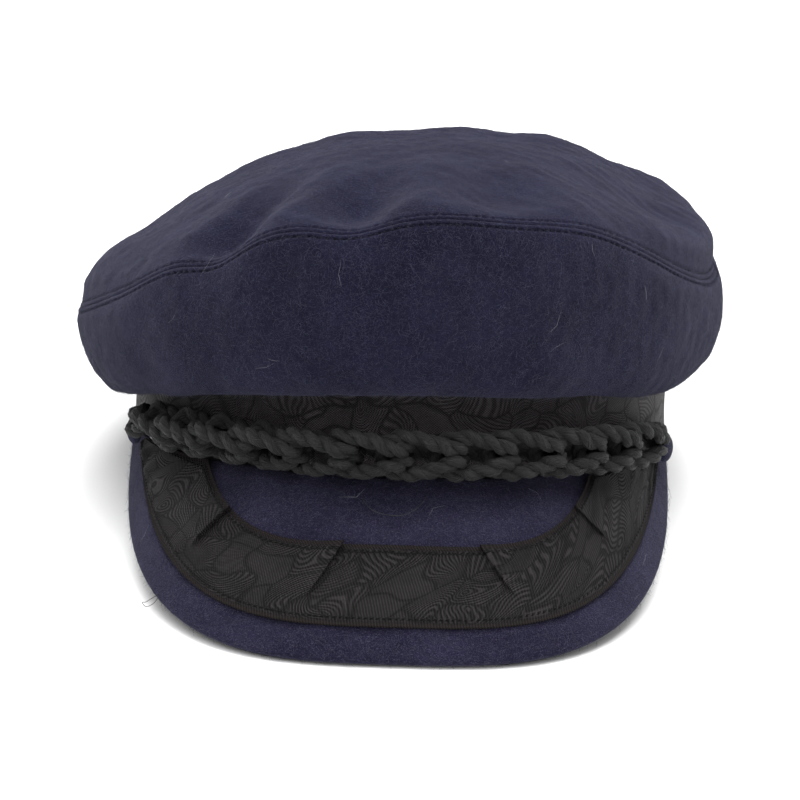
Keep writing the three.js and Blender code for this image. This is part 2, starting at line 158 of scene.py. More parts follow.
# A closed mesh of a front and a back grid of the upright cap, with their shared UV.
def addWall(name, front, back, uv, loop=False, pole=False):
    sets = [np.concatenate([g.reshape(-1, g.shape[-1]) for g in pair]) for pair in ((front, back), (uv, uv))]
    if pole:
        sets[0] = np.concatenate([sets[0], front[-1].mean(0)[None], back[-1].mean(0)[None]])
        sets[1] = np.concatenate([sets[1], uv[-1].mean(0)[None], uv[-1].mean(0)[None]])
    return addMesh(name, toTable(sets[0]), wallFaces(*front.shape[:2], loop, pole), sets[1])


# The value of a smooth curve through four even knots, between the middle two.
def blend(a, b, c, d, t):
    slopeB, slopeC, rise = (c - a) / 2, (d - b) / 2, c - b
    return b + t * (slopeB + t * (3 * rise - 2 * slopeB - slopeC + t * (slopeB + slopeC - 2 * rise)))


# A table read round a closed loop of 360 degrees.
def roundLoop(values, degrees):
    values = np.asarray(values, float)
    place = (degrees / 360 % 1) * len(values)
    row = np.floor(place).astype(int)
    return blend(*[values[(row + k) % len(values)] for k in (-1, 0, 1, 2)], place - row)


# Rows read as a smooth curve from the first at share 0 to the last at 1.
def alongList(values, share):
    last = len(values) - 1
    share = np.asarray(share, float)
    rows = np.stack([np.broadcast_to(value, share.shape) for value in values])
    place = np.clip(share, 0, 1) * last
    row = np.minimum(np.floor(place).astype(int), last - 1)
    pick = [np.take_along_axis(rows, np.clip(row + k, 0, last)[None], 0)[0] for k in (-1, 0, 1, 2)]
    return blend(*pick, place - row)


# Radius of the band's oval in a direction, counted from the front towards +X.
def bandRadius(degrees):
    t = np.radians(degrees)
    return 1 / np.hypot(np.sin(t) / (cap["bandWidth"] / 2), np.cos(t) / (cap["bandLength"] / 2))


# A point of the upright cap: x = radius sin t, y = -radius cos t.
def polar(degrees, radius, height):
    t = np.radians(degrees)
    return np.stack(np.broadcast_arrays(np.sin(t) * radius, -np.cos(t) * radius, height), -1).astype(float)


# From 0 at low to 1 at high, as t t (3 - 2 t).
def smoothStep(x, low, high):
    t = np.clip((x - low) / (high - low), 0, 1)
    return t * t * (3 - 2 * t)


# A bell curve, exp(-(x / spread)^2).
def bump(x, spread):
    return np.exp(-(x / spread) ** 2)


# Summed distance from the first row or column of a grid to each point.
def lengthAlong(grid, axis):
    steps = np.linalg.norm(np.diff(grid, axis=axis), axis=-1)
    pad = [(1, 0) if k == axis else (0, 0) for k in range(steps.ndim)]
    return np.pad(np.cumsum(steps, axis=axis), pad)


# Soft lumps: a sum of seeded sine waves in all directions, about one length long.
def lumps(points, seed, length, count=14):
    rng = np.random.default_rng(seed)
    ways = rng.normal(size=(3, count))
    ways *= 2 * np.pi / length * rng.uniform(0.6, 1.4, count) / np.linalg.norm(ways, axis=0)
    return np.sin(points @ ways + rng.uniform(0, 2 * np.pi, count)).sum(-1) / np.sqrt(count / 2)


# The crown cloth's broad and small lumps.
def softCloth(points):
    return 0.4 * lumps(points, 3, 34) + 0.14 * lumps(points, 4, 9)


# The crown's outline in steps of 30 degrees from the front, its side section (out, up), its dents and its
# top's shoulders (at, spread, inward, length, height; hollows are below 0), and the relief of its seams.
crown = {
    "overhang": 19, "seam": 85, "peak": 103, "dome": 2.6, "crest": 14, "rim": 0.14, "dent": 6,
    "reach": [0.84, 0.76, 0.8, 0.96, 1.02, 1.02, 1.0, 0.96, 0.94, 0.98, 0.97, 0.91],
    "seamAt": [1.03, 0.99, 0.77, 0.72, 0.92, 0.95, 0.83, 0.66, 0.48, 0.46, 0.61, 0.9],
    "foldAt": [0.83, 0.78, 0.65, 0.78, 0.7, 0.6, 0.54, 0.47, 0.4, 0.35, 0.52, 0.72],
    "flare": [0.02, 0.08, 0.28, 0.05, 0, 0, 0.05, 0.15, 0.33, 0.55, 0.2, 0.02],
    "side": [(0.5, 0), (0.88, 0.14), (1.02, 0.42), (1.0, 0.74), (0.9, 1)],
    "dents": [(-34, 7, 0.6, 1.3, 1.2), (-9, 7, 0.9, 1.4, 1.0), (18, 9, 1.3, 1.3, 0.5), (70, 14, 0.7, 1.2, 0.5),
              (128, 13, 0.8, 1.3, 0.8), (180, 15, 0.9, 1.4, 0.7), (-130, 13, 0.8, 1.3, 0.9)],
    "groove": 2.2, "grooveDepth": 0.6, "grooveWidth": 0.5, "puff": 0.3, "pucker": 0.8, "stitch": 2.8,
    "meeting": 0.0006, "sideMeeting": 0.03, "poleShare": 0.9944, "round": 1.9, "roundSpan": 3.2,
    "shoulders": [(78, 32, 13, 13, 7.0), (-86, 26, 17, 14, 5.0), (-37, 6, 13, 10, -3.2), (-25, 5, 13, 10, 1.6),
                  (-11, 6, 17, 10, -3.2), (1, 6, 15, 10, 1.4), (14, 7, 17, 10, -1.8)],
}


# The crown's overhang, seam height, fold height and flare in a direction, each read round its table.
def crownShape(degrees):
    return (crown["overhang"] * roundLoop(crown["reach"], degrees),
            crown["seam"] * roundLoop(crown["seamAt"], degrees),
            cap["bandHeight"] * roundLoop(crown["foldAt"], degrees), roundLoop(crown["flare"], degrees))


# Depth of the dents: the sum of one bell curve round the crown times one away from the seam.
def dented(points, degrees, inward):
    depth = np.zeros(points.shape[:-1])
    for at, spread, start, length, deep in crown["dents"]:
        aside = bump((degrees - at + 180) % 360 - 180, spread)
        depth += deep * crown["dent"] * aside * bump(inward - start * crown["overhang"], length * crown["overhang"])
    flat = np.maximum(np.hypot(points[..., 0], points[..., 1]), 1e-9)
    way = [0.35 * points[..., 0] / flat, 0.35 * points[..., 1] / flat, np.full_like(depth, 0.9)]
    return points - depth[..., None] * np.stack(way, -1)


# The side: radius and height follow the section's smooth curve from the rim at share 0 to the seam at 1.
def crownSide(degrees, share):
    reach, seam, fold, flare = crownShape(degrees)
    rim = cap["bandHeight"] + cap["gap"]
    outs = [-cap["bandWall"], crown["rim"] * reach] + [(o + flare * (u - 0.5)) * reach for o, u in crown["side"]]
    heights = [rim, rim] + [fold + u * (seam - fold) for o, u in crown["side"]]
    height = alongList(heights, share)
    below = (height - seam) * np.where(share > 0.5, 1, 3)
    points = polar(degrees, bandRadius(degrees) + alongList(outs, share), height)
    return dented(points, degrees, np.minimum(below, 0))


# The top: height rises from the seam by 1 - (1 - share) to the dome's power, and shifts to the crest.
def crownTop(degrees, share):
    reach, seam, fold, flare = crownShape(degrees)
    edge = bandRadius(degrees) + (crown["side"][-1][0] + flare / 2) * reach
    height = seam + (crown["peak"] - seam) * (1 - (1 - share) ** crown["dome"])
    points = polar(degrees, edge * (1 - share), height)
    points[..., 0] += crown["crest"] * share
    return dented(points, degrees, edge * share)


# Seam relief at a distance from the seam: a puffed allowance, then a sewn groove with puckers.
def seamRelief(distance, along):
    pucker = 1 + crown["pucker"] * np.sin(2 * np.pi * along / crown["stitch"])
    puff = crown["puff"] * bump(distance - crown["groove"] * 0.3, 1.2) - 0.12 * bump(distance, 0.3)
    return puff - crown["grooveDepth"] * bump(distance - crown["groove"], crown["grooveWidth"]) * pucker


# The way from the seam to the inner corner of the two walls, for one unit of wall.
def seamMitre(degrees):
    step, one = 1e-3, np.ones_like(degrees)

    def facing(at, share, inward):
        return unit(np.cross(at(degrees + step, share) - at(degrees - step, share), inward))

    side = facing(crownSide, one, crownSide(degrees, one) - crownSide(degrees, one - step))
    top = facing(crownTop, one * 0, crownTop(degrees, one * step) - crownTop(degrees, one * 0))
    return (side + top) / np.maximum(1 + (side * top).sum(-1, keepdims=True), 0.4)


woolPatches, seamLines = {}, {}


# The line on a grid that runs at a distance from its first row, and the outward way along it.
def lineAt(grid, away, distance, loop):
    row = np.abs(away - distance).argmin(0)
    columns = np.arange(grid.shape[1])
    normal = gridNormals(grid, loop)[row, columns]
    outward = normal[:, 2] if loop else (normal * grid[row, columns]).sum(-1)
    return grid[row, columns], normal * np.sign(outward.mean())


# How far the seam's corner is rounded back: an exponential of the distance from the seam.
def seamRound(away, degrees):
    return crown["round"] * np.exp(-away / crown["roundSpan"])[..., None] * seamMitre(degrees)


# The top panel: the smooth top plus relief along its normals, over a wall of cloth.
def makeCrownTop(columns=470, rows=96):
    shares = crown["meeting"] + crown["poleShare"] * np.linspace(0, 1, rows) ** 2
    degrees, share = np.meshgrid(np.arange(columns) * 360 / columns, shares)
    base = crownTop(degrees, share)
    normal, away = gridNormals(base, True), lengthAlong(base, 0)
    soft = softCloth(base) * smoothStep(away, 1, 9)
    front = base + normal * (seamRelief(away, lengthAlong(base, 1)[:1]) + soft)[..., None]
    back = base - cap["cloth"] * normal
    back += (base[0] - cap["cloth"] * seamMitre(degrees[0]) - back[0]) * (1 - smoothStep(away, 0, 3))[..., None]
    full = sum(high * bump((degrees - at + 180) % 360 - 180, spread) * bump(away - inward, length)
               for at, spread, inward, length, high in crown["shoulders"])
    turned = seamRound(away, degrees[0]) - (full * smoothStep(away, 0, 9))[..., None] * normal
    front, back = front - turned, back - turned
    woolPatches["crownTop"] = front
    seamLines["Top"] = lineAt(front, away, crown["groove"], True)
    return addWall("crownTop", front, back, base[..., :2], loop=True, pole=True)


# A side panel between the side seams: the smooth side plus relief along its normals, over a wall.
def makeCrownSide(name, start, end, columns, rows):
    turn = np.degrees(crown["sideMeeting"] / cap["bandWidth"])
    degrees, share = np.meshgrid(np.linspace(start + turn, end - turn, columns),
                                 (1 - np.linspace(1, 0, rows) ** 1.5) * (1 - crown["meeting"]))
    base = crownSide(degrees, share)
    normal, up, along = gridNormals(base), lengthAlong(base, 0), lengthAlong(base, 1)
    away, edge = up[-1:] - up, np.minimum(along, along[:, -1:] - along)
    free = smoothStep(share, 0.25, 0.4)
    soft = softCloth(base) * smoothStep(np.minimum(away, edge), 1, 9) * free
    relief = seamRelief(away, along[-1:]) + seamRelief(edge, up) * free + soft
    front, back = base + normal * relief[..., None], base - cap["cloth"] * normal
    back += (base[-1] - cap["cloth"] * seamMitre(degrees[-1]) - back[-1]) * (1 - smoothStep(away, 0, 3))[..., None]
    turned = seamRound(away, degrees[-1])
    front, back = front - turned, back - turned
    woolPatches[name] = front[rows // 5:]
    seamLines[name] = lineAt(front[::-1], away[::-1], crown["groove"], False)
    return addWall(name, front, back, np.stack([along[-1:] + 0 * up, up], -1))


# The peak's outline, camber and walls, and the tape with its tucks (at, reach, lift).
peak = {"width": 186, "reach": 131, "drop": 49.5, "hang": 3, "back": 10, "squareness": 3.1, "sweep": 82.5,
        "turn": 87, "wall": 2.6, "camber": 0.025, "lining": 1.2, "inset": 0.6, "thin": 0.08}
tape = {"width": 28.5, "margin": 11.5, "wall": 0.9, "lift": 2.5, "run": 0.05, "overlap": 1.6,
        "tucks": [(-0.39, 0.75, 1.0), (-0.145, 0.72, 1.0), (0.2, 0.7, -0.6), (0.425, 0.7, -0.45)],
        "wrinkle": 0.3, "slant": 0.07, "stitchIn": 2.9}


# Straight lines from the band's oval to a superellipse edge, swollen by 4 share (1 - share).
def peakSurface(side, share):
    at = side * peak["sweep"]
    join = polar(at, bandRadius(at) + cap["gap"], -cap["gap"] + 0 * share)
    turn, power = np.radians(peak["turn"] * side), peak["squareness"]
    radius = ((np.abs(np.sin(turn)) / (peak["width"] / 2)) ** power
              + (np.abs(np.cos(turn)) / peak["reach"]) ** power) ** (-1 / power)
    forward = radius * np.cos(turn)
    edge = np.stack(np.broadcast_arrays(radius * np.sin(turn), -peak["back"] - forward,
                                        -peak["hang"] - peak["drop"] * forward / peak["reach"] + 0 * share), -1)
    swell = peak["camber"] * np.linalg.norm(join - edge, axis=-1) * 4 * share * (1 - share)
    return join + (edge - join) * share[..., None] + polar(at, swell, swell)


# A point over the peak: the surface plus a height along its normal.
def overPeak(side, share, height):
    step = 1e-3
    sideways = peakSurface(side + step, share) - peakSurface(side - step, share)
    normal = unit(np.cross(sideways, peakSurface(side, share - step) - peakSurface(side, share + step)))
    return peakSurface(side, share) + normal * np.asarray(height)[..., None]


# The share at which a line runs at a distance inside the peak's edge.
def peakShare(side, distance):
    step, one = 1e-3, np.ones_like(side)
    edge = peakSurface(side, one)
    inward = peakSurface(side, 0 * one) - edge
    along = unit(peakSurface(side + step, one) - peakSurface(side - step, one))
    depth = np.linalg.norm(inward - along * (inward * along).sum(-1, keepdims=True), axis=-1)
    return 1 - distance / depth


# The peak's cloth: rows from the edge inwards, on a wall that closes at the edge in a quarter circle.
def makePeak(columns=360, rows=90):
    sides = np.linspace(-1, 1, columns)
    depth = 1 / (1 - peakShare(sides, 1.0))
    away = np.linspace(0, 1, rows)[:, None] ** 2 * depth
    share = 1 - away / depth
    side, half, thin = sides + 0 * share, peak["wall"] / 2, peak["thin"]
    roll = np.sqrt(np.clip(1 - (1 - np.clip(away / half, 0, 1)) ** 2, 0, 1)) * (half - thin) + thin
    seat = overPeak(side, share, 0 * share)
    soft = 0.22 * lumps(seat, 6, 26) * smoothStep(away, 3, 12)
    front = overPeak(side, share, roll - half + soft)
    back = overPeak(side, share, -roll - half)
    woolPatches["peakCloth"] = front
    return addWall("peakCloth", front, back, front[..., :2])


# The lining: the peak's surface again, a gap below its wall and a little inside its edge.
def makeLining(columns=200, rows=40):
    sides = np.linspace(-1, 1, columns) * (1 - peak["inset"] / cap["bandWidth"])
    outer = np.maximum(peakShare(sides, peak["inset"]), 0.5)
    share = outer + (0.02 - outer) * np.linspace(0, 1, rows)[:, None]
    side = sides + 0 * share
    top = -peak["wall"] - cap["gap"] + 0 * share
    front = overPeak(side, share, top)
    return addWall("peakLining", front, overPeak(side, share, top - peak["lining"]), front[..., :2])


# Height and shift of the tape at its folds: an exponential rise up to each tuck and a sharp fall, which
# fade out across the tape.
def tuckHeight(side, across):
    height, shift = 0 * side, 0 * side
    for at, reach, liftShare in tape["tucks"]:
        line = at + np.sign(at) * tape["slant"] * (across - 0.5)
        past = np.sign(liftShare) * (side - line)
        fade = smoothStep(1 - across / reach, 0, 0.35)
        rise = np.where(past > 0, 1 - smoothStep(past, 0, 0.004), np.exp(np.minimum(past, 0) / tape["run"]))
        height = height + abs(liftShare) * tape["lift"] * fade * rise
        shift = shift + np.sign(liftShare) * fade * tape["overlap"] * rise * bump(past, 0.012)
    return height, shift


# The tape: an even strip inside the peak's edge, lifted by its tucks and soft wrinkles.
def makeTape(columns=1000, rows=40):
    test = np.linspace(0.5, 1, 400)
    limit = test[peakShare(test, tape["margin"]) >= 0.2].max()
    sides = np.linspace(-limit, limit, columns)
    outer = peakShare(sides, tape["margin"])
    inner = np.maximum(peakShare(sides, tape["margin"] + tape["width"]), 0.03)
    across = np.linspace(1, 0, rows)[:, None] + 0 * sides
    share, side = inner + (outer - inner) * across, sides + 0 * across
    height, shift = tuckHeight(side, across)
    seat = overPeak(side, share, 0 * share)
    along = lengthAlong(seat, 1)
    way = unit(np.gradient(seat, axis=1))
    ends = 0.5 + 1.2 * smoothStep(np.abs(side), 0.55, 0.9)
    wave = tape["wrinkle"] * ends * lumps(np.stack([along, across * 9, 0 * side], -1), 11, 11)
    rim = -0.35 * (bump(across - 0.05, 0.03) + bump(across - 0.95, 0.03))
    bottom = cap["gap"] + height + np.maximum(wave, -0.2) * smoothStep(np.minimum(across, 1 - across), 0, 0.2)
    front = overPeak(side, share, bottom + tape["wall"] + rim) + way * shift[..., None]
    back = overPeak(side, share, bottom) + way * shift[..., None]
    out = gridNormals(front)
    for k, place in ((1, tape["stitchIn"]), (2, tape["width"] - tape["stitchIn"])):
        row = np.abs(across[:, 0] * tape["width"] - place).argmin()
        seamLines[f"Tape{k}"] = front[row], out[row] * np.sign(out[row][:, 2:].mean())
    return addWall("peakTape", front, back, np.stack([along, across * tape["width"]], -1))


# The band: the oval carried upward, with its edges pressed in and a little unevenness.
def makeBand(columns=420, rows=40):
    degrees, share = np.meshgrid(180 + np.arange(columns) * 360 / columns, np.linspace(0, 1, rows))
    seat = polar(degrees, bandRadius(degrees), cap["bandHeight"] * share)
    along = lengthAlong(seat, 1)
    rim = -0.6 * (bump(share, 0.03) + bump(share - 1, 0.03))
    front = seat + gridNormals(seat, True) * (rim + 0.18 * lumps(seat, 8, 22) - 0.1)[..., None]
    back = polar(degrees, bandRadius(degrees) - cap["bandWall"], cap["bandHeight"] * share)
    return addWall("bandBrocade", front, back, np.stack([along, share * cap["bandHeight"]], -1), loop=True)


innerBand = {"below": 2.2, "shorter": 3, "wall": 1.1, "grain": 1.7}


# A plain strip sewn inside the band, which reaches a little below it.
def makeInnerBand(columns=300, rows=12):
    degrees, share = np.meshgrid(180 + np.arange(columns) * 360 / columns, np.linspace(0, 1, rows))
    radius = bandRadius(degrees) - cap["bandWall"] - cap["gap"]
    height = -innerBand["below"] + (cap["bandHeight"] - innerBand["shorter"]) * share
    front, back = polar(degrees, radius, height), polar(degrees, radius - innerBand["wall"], height)
    return addWall("innerBand", front, back, np.stack([degrees * innerBand["grain"], height], -1), loop=True)


# The cord: how the braid hangs (height, away, roll), one chain stitch (along, across, out), the last
# pass and the hook over a button.
cord = {
    "width": 9.6, "depth": 8.3, "stitches": 12, "ends": 0.065, "height": 9, "away": 8, "diameter": 4,
    "standoff": 5.4, "leftHeight": 3, "rightHeight": 2, "ply": 1.58, "offset": 1.12, "pitch": 12.0, "ridges": 7,
    "hang": [(0.84, 0.9, 45), (0.94, 0.88, 52), (1.0, 0.9, 40), (1.0, 1.0, 12), (1.0, 1.02, -6), (0.96, 1.02, -4),
             (0.88, 1.0, 6), (0.78, 0.98, 18)],
    "chain": [(-0.08, 0.22, -0.45), (-0.11, 0.21, 0.26), (0.1, 0.26, 0.52), (0.64, 0.58, 0.34), (1.15, 0.55, 0.05),
              (1.33, 0, -0.13), (1.15, -0.55, 0.05), (0.64, -0.58, 0.34), (0.1, -0.26, 0.52), (-0.11, -0.21, 0.26),
              (-0.08, -0.22, -0.45), (0.69, 0.06, -0.71)],
    "last": [(-0.08, 0.22, -0.45), (-0.11, 0.21, 0.26), (0.1, 0.16, 0.54), (0.46, 0.06, 0.44)],
    "hook": [(-1.35, 0.3, 0.5), (-1.1, 1.2, 0.5), (-0.1, 1.6, 0.5), (0.9, 1.5, 0.85)],
}


# A point of the braid: the hang's curve round the band, plus across and out turned by its roll.
def braidPoint(share, across, out):
    height, away, roll = [alongList([row[k] for row in cord["hang"]], share) for k in range(3)]
    roll, degrees = np.radians(roll), cap["buttonAngle"] * (2 * share - 1)
    up = across * np.cos(roll) - out * np.sin(roll)
    apart = across * np.sin(roll) + out * np.cos(roll)
    return polar(degrees, bandRadius(degrees) + cord["away"] * away + apart, cord["height"] * height + up)


# The cord's path: hook, one loop per stitch, last pass, hook, as a smooth curve cut into even steps.
def cordPath():
    along, across, out = np.array(cord["chain"]).T
    stitch = (1 - 2 * cord["ends"]) / cord["stitches"]
    share = 1 - cord["ends"] - (np.arange(cord["stitches"])[:, None] + along) * stitch
    chain = braidPoint(share, across * cord["width"] + 0 * share, out * cord["depth"] + 0 * share).reshape(-1, 3)
    along, across, out = np.array(cord["last"]).T
    last = braidPoint(cord["ends"] - along * stitch, across * cord["width"], out * cord["depth"])
    along, up, out = np.array(cord["hook"]).T
    hooks = []
    for side, height in ((1, cord["rightHeight"]), (-1, cord["leftHeight"])):
        degrees = side * (cap["buttonAngle"] - np.degrees(along * cord["diameter"] / (cap["bandWidth"] / 2)))
        hooks.append(polar(degrees, bandRadius(degrees) + out * cord["standoff"], height + up * cord["diameter"]))
    points = np.concatenate([hooks[0], chain, last, hooks[1][::-1]])
    ends = np.concatenate([[2 * points[0] - points[1]], points, [2 * points[-1] - points[-2]]])
    place = np.linspace(0, len(points) - 1, 12 * len(points))
    row = np.minimum(place.astype(int), len(points) - 2)
    fine = blend(*[ends[row + k] for k in range(4)], (place - row)[:, None])
    length = lengthAlong(fine, 0)
    even = np.linspace(0, length[-1], int(length[-1] / 0.8))
    return np.stack([np.interp(even, length, fine[:, k]) for k in range(3)], -1), even


# Two directions across a path that don't twist: any pair across it, turned back by the sum of the
# turns from each station to the next.
def acrossPath(path):
    tangent = unit(np.gradient(path, axis=0))
    spare = np.where(np.abs(tangent[:, 2:]) < 0.8, [[0, 0, 1.0]], [[1.0, 0, 0]])
    one = unit(np.cross(tangent, spare))
    two = np.cross(tangent, one)
    turnWay = np.cross(tangent[:-1], tangent[1:])
    share = 1 / (1 + (tangent[:-1] * tangent[1:]).sum(-1, keepdims=True))
    carried = one[:-1] * (1 / share - 1) + np.cross(turnWay, one[:-1])
    carried += turnWay * (turnWay * one[:-1]).sum(-1, keepdims=True) * share
    turns = np.arctan2((carried * two[1:]).sum(-1), (carried * one[1:]).sum(-1))
    angle = np.concatenate([[0], np.cumsum(turns)])[:, None]
    return one * np.cos(angle) + two * np.sin(angle), two * np.cos(angle) - one * np.sin(angle)


# Triangles of rows of rings, closed at each end by a fan to one more point.
def tubeFaces(rows, columns):
    quads, low, beside = cells(rows, columns)
    total = rows * columns
    fans = [np.stack([beside, low, 0 * low + total], -1),
            np.stack([low + total - columns, beside + total - columns, 0 * low + total + 1], -1)]
    return np.concatenate([quads[:, [0, 1, 2]], quads[:, [0, 2, 3]], *fans])


# A round tube along a path, with strands round it, closed by a fan at each end.
def addTube(name, path, radius, sides=12, ridges=0):
    one, two = acrossPath(path)
    around = np.arange(sides + 1) * 2 * np.pi / sides
    ring = np.cos(around)[:, None, None] * one + np.sin(around)[:, None, None] * two
    length = lengthAlong(path, 0)
    strands = 1 + (0.09 * np.sin(ridges * around[:, None] + length * 1.1) if ridges else 0 * around[:, None])
    grid = path + ring * (strands * radius)[..., None]
    points = grid[:-1].transpose(1, 0, 2).reshape(-1, 3)
    points = np.concatenate([points, path[:1], path[-1:]])
    uvGrid = np.stack(np.broadcast_arrays(length[:, None], np.abs(np.arange(sides) / sides - 0.5) * 8), -1)
    uv = np.concatenate([uvGrid.reshape(-1, 2), np.zeros((2, 2))])
    return addMesh(name, toTable(points), tubeFaces(len(path), sides), uv), grid[:-1].transpose(1, 0, 2)


# Each ply turns round the cord's path by 2 pi length / pitch, half a turn from the other.
def makeCord():
    path, length = cordPath()
    one, two = acrossPath(path)
    made = []
    for k in range(2):
        turn = (2 * np.pi * length / cord["pitch"] + np.pi * k)[:, None]
        ply = path + cord["offset"] * (one * np.cos(turn) + two * np.sin(turn))
        ply = ply + 0.12 * np.stack([lumps(ply, 24 + 3 * k + n, 6) for n in range(3)], -1)
        swell = 1 + 0.08 * lumps(ply, 20 + k, 5)
        thing, grid = addTube(f"cordPly{k + 1}", ply, cord["ply"] * swell, 24, cord["ridges"])
        made.append((thing, grid))
    return made


button = {"diameter": 9.5, "dome": 3.2, "standoff": 5.4, "shank": 3}


# A shank, a flat underside and a dome that rises as a power of the sine, carried round one axis.
def makeButton(name, side, height, columns=40):
    head, shank, start = button["diameter"] / 2, button["shank"] / 2, cap["gap"]
    t = np.linspace(0, np.pi / 2, 12)
    radius = np.concatenate([[shank, shank, head * 0.8, head * 0.94], head * np.cos(t[:-1]) ** 0.8, [0.12]])
    out = np.concatenate([[start, button["standoff"], button["standoff"], button["standoff"] + 0.35],
                          button["standoff"] + 1.1 + (button["dome"] - 1.1) * np.sin(t[:-1]) ** 1.1,
                          [button["standoff"] + button["dome"]]])
    around = np.arange(columns) * 2 * np.pi / columns
    degrees = side * cap["buttonAngle"]
    axis, seat = polar(degrees, 1.0, 0), polar(degrees, bandRadius(degrees), height)
    across, up = np.array([axis[1], -axis[0], 0]), np.array([0, 0, 1.0])
    ring = np.cos(around)[:, None] * across + np.sin(around)[:, None] * up
    grid = seat + radius[:, None, None] * ring + out[:, None, None] * axis
    points = np.concatenate([grid.reshape(-1, 3), seat + axis * out[[0, -1], None]])
    flat = (points - seat) @ np.stack([across, up], -1)
    return addMesh(name, toTable(points), tubeFaces(len(radius), columns), flat)


# Loose fibres: seeded lines that start on a grid's cells, bend and rise off them.
def addFibres(name, grid, count, seed, reach, lift, width):
    rng = np.random.default_rng(seed)
    cell = np.linalg.norm(np.cross(grid[1:, :-1] - grid[:-1, :-1], grid[:-1, 1:] - grid[:-1, :-1]), axis=-1).ravel()
    picked = rng.choice(len(cell), count, p=cell / cell.sum())
    j, i = np.divmod(picked, grid.shape[1] - 1)
    u, v = rng.random((2, count, 1))
    near, far = [grid[row, i] * (1 - u) + grid[row, i + 1] * u for row in (j, j + 1)]
    root = near * (1 - v) + far * v
    across, down = grid[j, i + 1] - grid[j, i], grid[j + 1, i] - grid[j, i]
    normal, across = unit(np.cross(across, down)), unit(across)
    beside = np.cross(normal, across)
    turn, bend = rng.uniform(0, 2 * np.pi, (count, 1)), rng.normal(0, 0.5, (count, 1))
    length = rng.uniform(*reach, (count, 1))
    rise = rng.exponential(lift, (count, 1)).clip(0, lift * 4)
    stations = []
    for along in (0, 0.5, 1):
        angle = turn + bend * along
        flat = length * along * (across * np.cos(angle) + beside * np.sin(angle))
        stations.append(root + flat + normal * (0.02 + rise * (1 - (1 - along) ** 2) * (0.9 if along else 0)))
    line = np.stack(stations, 1)
    return addStrands(name, line, normal, rng.uniform(*width, (count, 1, 1, 1)))


# Short strands through three points each: rings of three points, closed at both ends.
def addStrands(name, line, normal, thick):
    count = len(line)
    flatWay = unit(np.cross(normal, line[:, 2] - line[:, 0]))
    thick = thick * np.array([0.8, 1, 0.35]).reshape(1, 3, 1, 1)
    around = np.arange(3) * 2 * np.pi / 3
    ring = np.cos(around)[:, None] * flatWay[:, None, None] + np.sin(around)[:, None] * normal[:, None, None]
    points = (line[:, :, None] + ring * thick).reshape(-1, 3)
    small = np.array([[s * 3 + k, s * 3 + (k + 1) % 3, s * 3 + 3 + (k + 1) % 3, s * 3 + 3 + k]
                      for s in range(2) for k in range(3)])
    small = np.concatenate([small[:, [0, 1, 2]], small[:, [0, 2, 3]], [[2, 1, 0], [6, 7, 8]]])
    faces = (small + 9 * np.arange(count)[:, None, None]).reshape(-1, 3)
    return addMesh(name, toTable(points), faces, points[:, :2])


# Stitches along a line: every pitch a thread that rises out of the cloth, runs on it and dives in.
def addStitches(name, line, normal, pitch, length, thread):
    run = lengthAlong(line, 0)
    middle = np.arange(pitch, run[-1] - pitch, pitch)
    places = middle[:, None] + length * np.array([-0.5, 0, 0.5])
    points = np.stack([np.interp(places, run, line[:, k]) for k in range(3)], -1)
    out = np.stack([np.interp(middle, run, normal[:, k]) for k in range(3)], -1)
    lifts = np.array([-0.35, 0.75, -0.35]) * thread
    return addStrands(name, points + out[:, None] * lifts[:, None], out, np.full((len(middle), 1, 1, 1), thread))


# Sets or links a node's sockets by name or number.
def setInputs(node, values):
    for key, value in values.items():
        if isinstance(value, bpy.types.NodeSocket):
            node.id_data.links.new(value, node.inputs[key])
        else:
            node.inputs[key].default_value = value


# A node's outputs, after its inputs and settings; it goes into the tree of the first socket it takes.
def put(kind, values, **settings):
    tree = next(value.id_data for value in values.values() if isinstance(value, bpy.types.NodeSocket))
    node = tree.nodes.new("ShaderNode" + kind)
    for key, value in settings.items():
        setattr(node, key, value)
    setInputs(node, values)
    return node.outputs


def calc(operation, a, b=0.0):
    return put("Math", {0: a, 1: b}, operation=operation)[0]


def times(a, b):
    return calc("MULTIPLY", a, b)


# A sine wave, sin(2 pi value / length).
def sineWave(value, length):
    return calc("SINE", times(value, 2 * np.pi / length))


def vector(operation, a, b):
    return put("VectorMath", {0: a, (3 if operation == "SCALE" else 1): b}, operation=operation)[0]


def mixed(share, a, b):
    return put("Mix", {0: share, 6: a, 7: b}, data_type="RGBA")[2]


def blended(share, a, b):
    return put("Mix", {0: share, 2: a, 3: b})[0]


def ranged(value, low, high, toLow=0.0, toHigh=1.0):
    return put("MapRange", {0: value, 1: low, 2: high, 3: toLow, 4: toHigh})[0]


def noise(place, scale, detail, output="Fac"):
    return put("TexNoise", {"Vector": place, "Scale": scale, "Detail": detail})[output]


def split(value):
    return put("SeparateXYZ", {0: value})


# The surface's normal, bent by the slope of a height.
def bentNormal(height, strength, distance):
    return put("Bump", {"Height": height, "Strength": strength, "Distance": distance})[0]


def useGroup(group, **values):
    return put("Group", values, node_tree=group)


# A colour times a gain, or a gain for each channel.
def tinted(colour, gain):
    return tuple(np.multiply(colour[:3], gain)) + (1,)


# A node group that takes a place and values, and gives values.
def newGroup(name, takes, gives):
    group = bpy.data.node_groups.new(name, "ShaderNodeTree")
    group.interface.new_socket("Place", in_out="INPUT", socket_type="NodeSocketVector")
    for title, default in takes.items():
        socket = group.interface.new_socket(title, in_out="INPUT", socket_type="NodeSocketFloat")
        socket.default_value = default
    for title in gives:
        group.interface.new_socket(title, in_out="OUTPUT", socket_type="NodeSocketFloat")
    return group, group.nodes.new("NodeGroupInput").outputs, group.nodes.new("NodeGroupOutput").inputs


